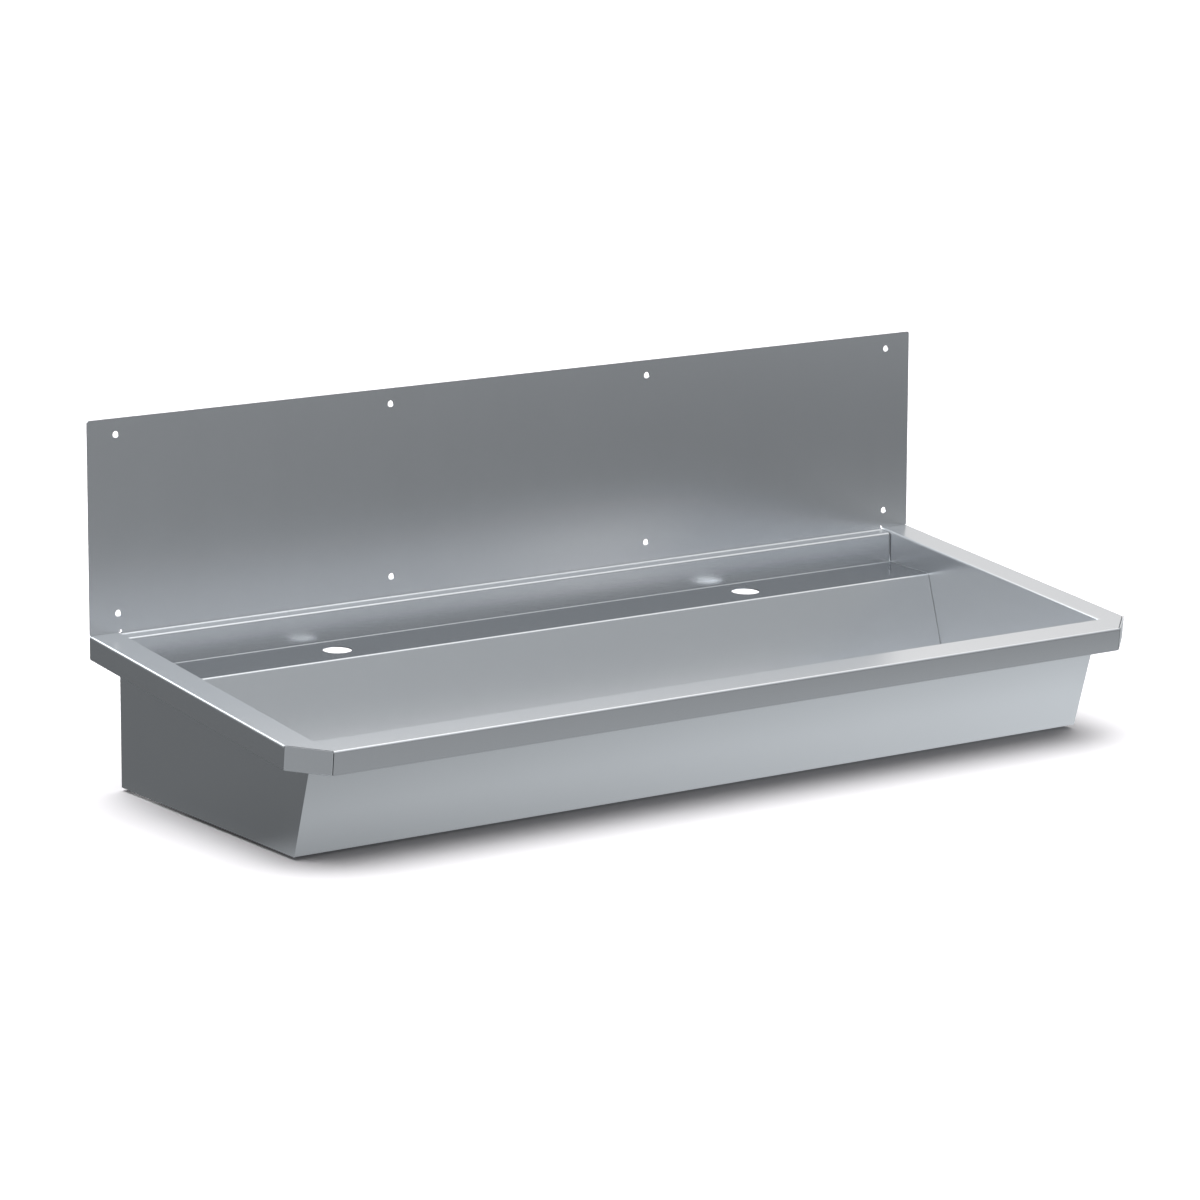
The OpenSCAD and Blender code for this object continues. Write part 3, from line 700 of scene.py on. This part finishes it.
# The body's shell and its boss, as radius and height in millimetres, and three spokes between them
tail_r = 23.9
thread_depth = 1.479
root_r = tail_r - thread_depth
shell = [(25.0, 0.0), (39.0, 0.0), (40.0, -1.0), (40.0, -3.0), (26.0, -3.0), (root_r, -4.2),
         (root_r, -14.0), (root_r - 1.0, -15.0), (20.0, -15.0), (20.0, -8.0)]
boss = [(4.55, -1.0), (7.0, -1.0), (7.0, -13.0), (3.5, -13.0), (3.5, -10.0), (4.55, -10.0)]
spoke = [(-1.5, -13.0), (1.5, -13.0), (1.5, -8.5), (-1.5, -8.5)]
spoke_from, spoke_to = 6.6, 20.4
spokes = 3
parts = [turned_ring("shell_loop", rounded_loop(shell, 0.5, 3), body_top),
         turned_ring("boss_loop", rounded_loop(boss, 0.4, 3), body_top, 48)]
spoke_loop = rounded_loop(spoke, 0.6, 3)
count = len(spoke_loop)
for i in range(spokes):
    angle = math.radians(90 + 360 / spokes * i)
    outward = Vector((math.cos(angle), math.sin(angle), 0))
    sideways = Vector((-math.sin(angle), math.cos(angle), 0))
    points = [Vector((0, outlet_y, body_top))
              + (outward * r + sideways * p[0] + Vector((0, 0, p[1]))) / 1000
              for r in (spoke_from, spoke_to) for p in spoke_loop]
    faces = [(k, (k + 1) % count, count + (k + 1) % count, count + k) for k in range(count)]
    faces += [tuple(range(count)), tuple(range(count, 2 * count))]
    parts.append(mesh_object("spoke", points, faces))
add_part("outlet_body_moulding", parts, plastic, "outlet_body")

# The thread follows a helix round the tail, with a rounded crest, and sinks in at both its ends
thread_pitch = 2.309
thread_top = 0.0049
thread_turns = 3.9
crest_r = 0.001
crest_path_r = tail_r / 1000 - crest_r
turn_steps = 48
end_steps = 16
end_sinks = 0.0009
along = []
for k in range(int(thread_turns * turn_steps) + 1):
    angle = math.tau * k / turn_steps
    past_end = max(0.0, 1 - k / end_steps, 1 - (thread_turns * turn_steps - k) / end_steps)
    r = crest_path_r - end_sinks * past_end
    along.append((r * math.cos(angle), outlet_y + r * math.sin(angle),
                  body_top - thread_top - thread_pitch / 1000 * k / turn_steps))
bead_along("outlet_body_thread", along, plastic, slot="white_plastic", node="outlet_body",
           radius=crest_r, corner=0.0, step=0.003)

# ---- The sound-deadening pads ----
# Bitumen pads are stamped from thick sheet, with rounded corners and a pressed field of small
# studs. Each is glued under one end of the floor, and follows its slight fall to the outlet.

# Bitumen with mineral filler: nearly black, dull, with pale specks of the filler, some 1.5 mm apart
bitumen, tree, out = new_material("filled_bitumen_sheet")
where = add_node(tree, "ShaderNodeTexCoord")
specks = add_node(tree, "ShaderNodeTexVoronoi", {"Vector": where.outputs["Object"], "Scale": 650.0})
speck = add_node(tree, "ShaderNodeMapRange",
                 {"Value": specks.outputs["Distance"], "From Min": 0.05, "From Max": 0.16,
                  "To Min": 1.0, "To Max": 0.0})
pitted = add_node(tree, "ShaderNodeTexNoise",
                  {"Vector": where.outputs["Object"], "Scale": 520.0, "Detail": 4.0})
shade = add_node(tree, "ShaderNodeMix",
                 {0: speck.outputs[0], 6: linear("#242527"), 7: linear("#55565a")},
                 data_type="RGBA")
rough = add_node(tree, "ShaderNodeMapRange",
                 {"Value": pitted.outputs[0], **most_of_noise, "To Min": 0.62, "To Max": 0.82})
bumps = add_node(tree, "ShaderNodeBump",
                 {"Height": pitted.outputs[0], "Strength": 0.5, "Distance": 0.0003})
skin = add_node(tree, "ShaderNodeBsdfPrincipled",
                {"Base Color": shade.outputs[2], "Roughness": rough.outputs[0],
                 "Normal": bumps.outputs[0]})
tree.links.new(skin.outputs[0], out.inputs["Surface"])


def stud_field():
    """Builds the tree that sets small tapered studs out in rows."""
    tree = bpy.data.node_groups.new("stud_field", "GeometryNodeTree")
    sockets = {}
    tree.interface.new_socket("Pad", in_out="INPUT", socket_type="NodeSocketGeometry")
    for name, kind, value in (("Length", "Float", 0.16), ("Width", "Float", 0.09),
                              ("Stud Height", "Float", 0.0006), ("Stud Radius", "Float", 0.003),
                              ("Columns", "Int", 17), ("Rows", "Int", 10)):
        made = tree.interface.new_socket(name, in_out="INPUT", socket_type="NodeSocket" + kind)
        made.default_value = value
        sockets[name] = made.identifier
    made = tree.interface.new_socket("Finish", in_out="INPUT", socket_type="NodeSocketMaterial")
    sockets["Finish"] = made.identifier
    tree.interface.new_socket("Studs", in_out="OUTPUT", socket_type="NodeSocketGeometry")
    given = add_node(tree, "NodeGroupInput")
    rows = add_node(tree, "GeometryNodeMeshGrid",
                    {"Size X": given.outputs["Length"], "Size Y": given.outputs["Width"],
                     "Vertices X": given.outputs["Columns"], "Vertices Y": given.outputs["Rows"]})
    crown = add_node(tree, "ShaderNodeMath", {0: given.outputs["Stud Radius"], 1: 0.72},
                     operation="MULTIPLY")
    stud = add_node(tree, "GeometryNodeMeshCone",
                    {"Vertices": 8, "Radius Top": crown.outputs[0],
                     "Radius Bottom": given.outputs["Stud Radius"],
                     "Depth": given.outputs["Stud Height"]})
    studs = add_node(tree, "GeometryNodeInstanceOnPoints",
                     {"Points": rows.outputs["Mesh"], "Instance": stud.outputs["Mesh"]})
    whole = add_node(tree, "GeometryNodeRealizeInstances", {"Geometry": studs.outputs[0]})
    done = add_node(tree, "GeometryNodeSetMaterial",
                    {"Geometry": whole.outputs[0], "Material": given.outputs["Finish"]})
    add_node(tree, "NodeGroupOutput", {"Studs": done.outputs[0]})
    return tree, sockets


pad_length, pad_width, pad_thickness = 0.180, 0.110, 0.0025
pad_corner_r = 0.008
stud_height = 0.0006
stud_r = 0.0034
stud_pitch = 0.010
stud_sizes = {"Length": pad_length - 2 * stud_pitch, "Width": pad_width - 2 * stud_pitch,
              "Stud Height": stud_height, "Stud Radius": stud_r,
              "Columns": round(pad_length / stud_pitch) - 1,
              "Rows": round(pad_width / stud_pitch) - 1, "Finish": bitumen}
half_l, half_w, deep = pad_length / 2, pad_width / 2, pad_thickness - stud_height
# The slab's lower edge is pressed round: how far each level is pulled in, and its share of depth
slab_levels = [(0.0, 0.0), (0.0, 0.45), (0.0003, 0.8), (0.0009, 1.0)]
# The floor falls from its crease, near the end wall, to the outlet
crease_x = 0.5515
fall = math.atan2(0.0035, crease_x)
pad_x = 0.4005
glue_z = floor_z - 0.0012 - 0.0001
stud_tree, stud_sockets = stud_field()
for side, name in ((-1, "left"), (1, "right")):
    outline = rounded_loop([(-half_l, -half_w), (half_l, -half_w), (half_l, half_w),
                            (-half_l, half_w)], pad_corner_r, 8)
    points = []
    for inset, depth in slab_levels:
        points += [(p.x * (1 - inset / half_l), p.y * (1 - inset / half_w), -depth * deep)
                   for p in outline]
    count = len(outline)
    faces = [(i * count + k, i * count + (k + 1) % count, (i + 1) * count + (k + 1) % count,
              (i + 1) * count + k) for i in range(len(slab_levels) - 1) for k in range(count)]
    faces += [tuple(range(count)), tuple(range(len(points) - count, len(points)))]
    slab = mesh_object("slab", points, faces)
    studs = mesh_object("studs", [(0, 0, 0)], [])
    field = studs.modifiers.new("stud_field", "NODES")
    field.node_group = stud_tree
    for size, value in stud_sizes.items():
        field[stud_sockets[size]] = value
    make_plain(studs)
    studs.data.transform(Matrix.Translation((0, 0, -deep)) @ Matrix.Rotation(math.pi, 4, "X"))
    pad = add_part(name + "_studded_pad", [slab, studs], bitumen,
                   name + "_sound_pad")
    pad.data.transform(Matrix.Translation((side * crease_x, outlet_y, glue_z))
                       @ Matrix.Rotation(-side * fall, 4, "Y")
                       @ Matrix.Translation((side * (pad_x - crease_x), 0, 0)))
